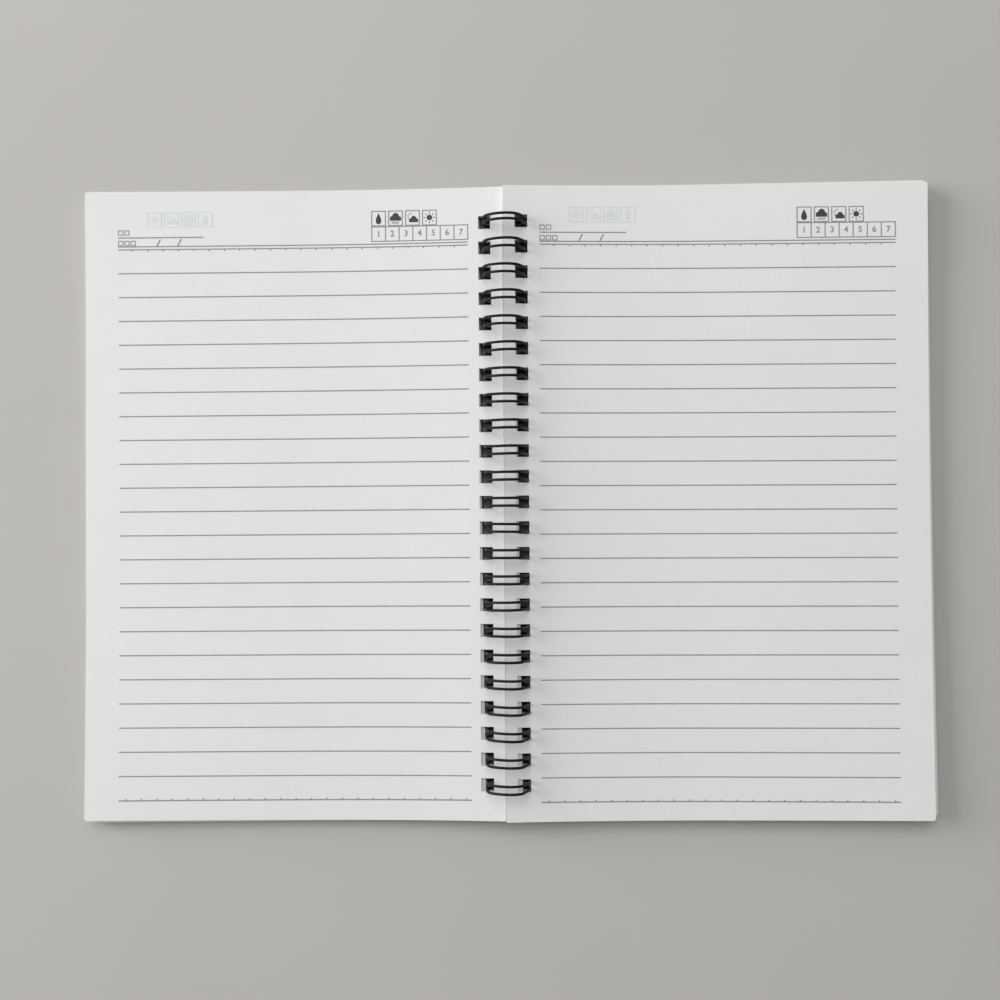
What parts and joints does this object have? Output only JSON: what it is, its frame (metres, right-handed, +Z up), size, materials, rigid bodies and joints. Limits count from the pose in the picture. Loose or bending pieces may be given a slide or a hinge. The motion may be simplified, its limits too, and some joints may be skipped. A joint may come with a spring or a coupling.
{
  "type": "spiral notebook",
  "caption": "Twin-loop wire-bound ruled notebook lying open, with leaves and card covers that turn on the wire.",
  "frame": {"origin": "on the table, under the middle of the spine", "axes": "+X across the right-hand page, +Y along the spine towards the top of the pages, +Z up from the table"},
  "size_m": [0.2844, 0.2104, 0.0151],
  "materials": {
    "coated_wire": "glossy black nylon coat on steel wire",
    "cover_card": "matt kraft card outside, pale inside",
    "page_paper": "matt uncoated paper with thin grey ruling"
  },
  "bodies": {
    "wire": {"wire_binding": "coated_wire"},
    "front": {"front_cover": "cover_card"},
    "left_leaves": {"left_pages": "page_paper"},
    "back": {"back_cover": "cover_card"},
    "right_leaves": {"right_pages": "page_paper"}
  },
  "joints": [
    {"name": "front_cover_turn", "type": "hinge", "parent": "wire", "child": "front", "pos_m": [0, 0, 0.0076], "axis": [0, 1, 0], "range_deg": [0, 180]},
    {"name": "left_pages_turn", "type": "hinge", "parent": "front", "child": "left_leaves", "pos_m": [0, 0, 0.0076], "axis": [0, 1, 0], "range_deg": [0, 180]},
    {"name": "back_cover_turn", "type": "hinge", "parent": "wire", "child": "back", "pos_m": [0, 0, 0.0076], "axis": [0, -1, 0], "range_deg": [0, 180]},
    {"name": "right_pages_turn", "type": "hinge", "parent": "back", "child": "right_leaves", "pos_m": [0, 0, 0.0076], "axis": [0, -1, 0], "range_deg": [0, 180]}
  ]
}
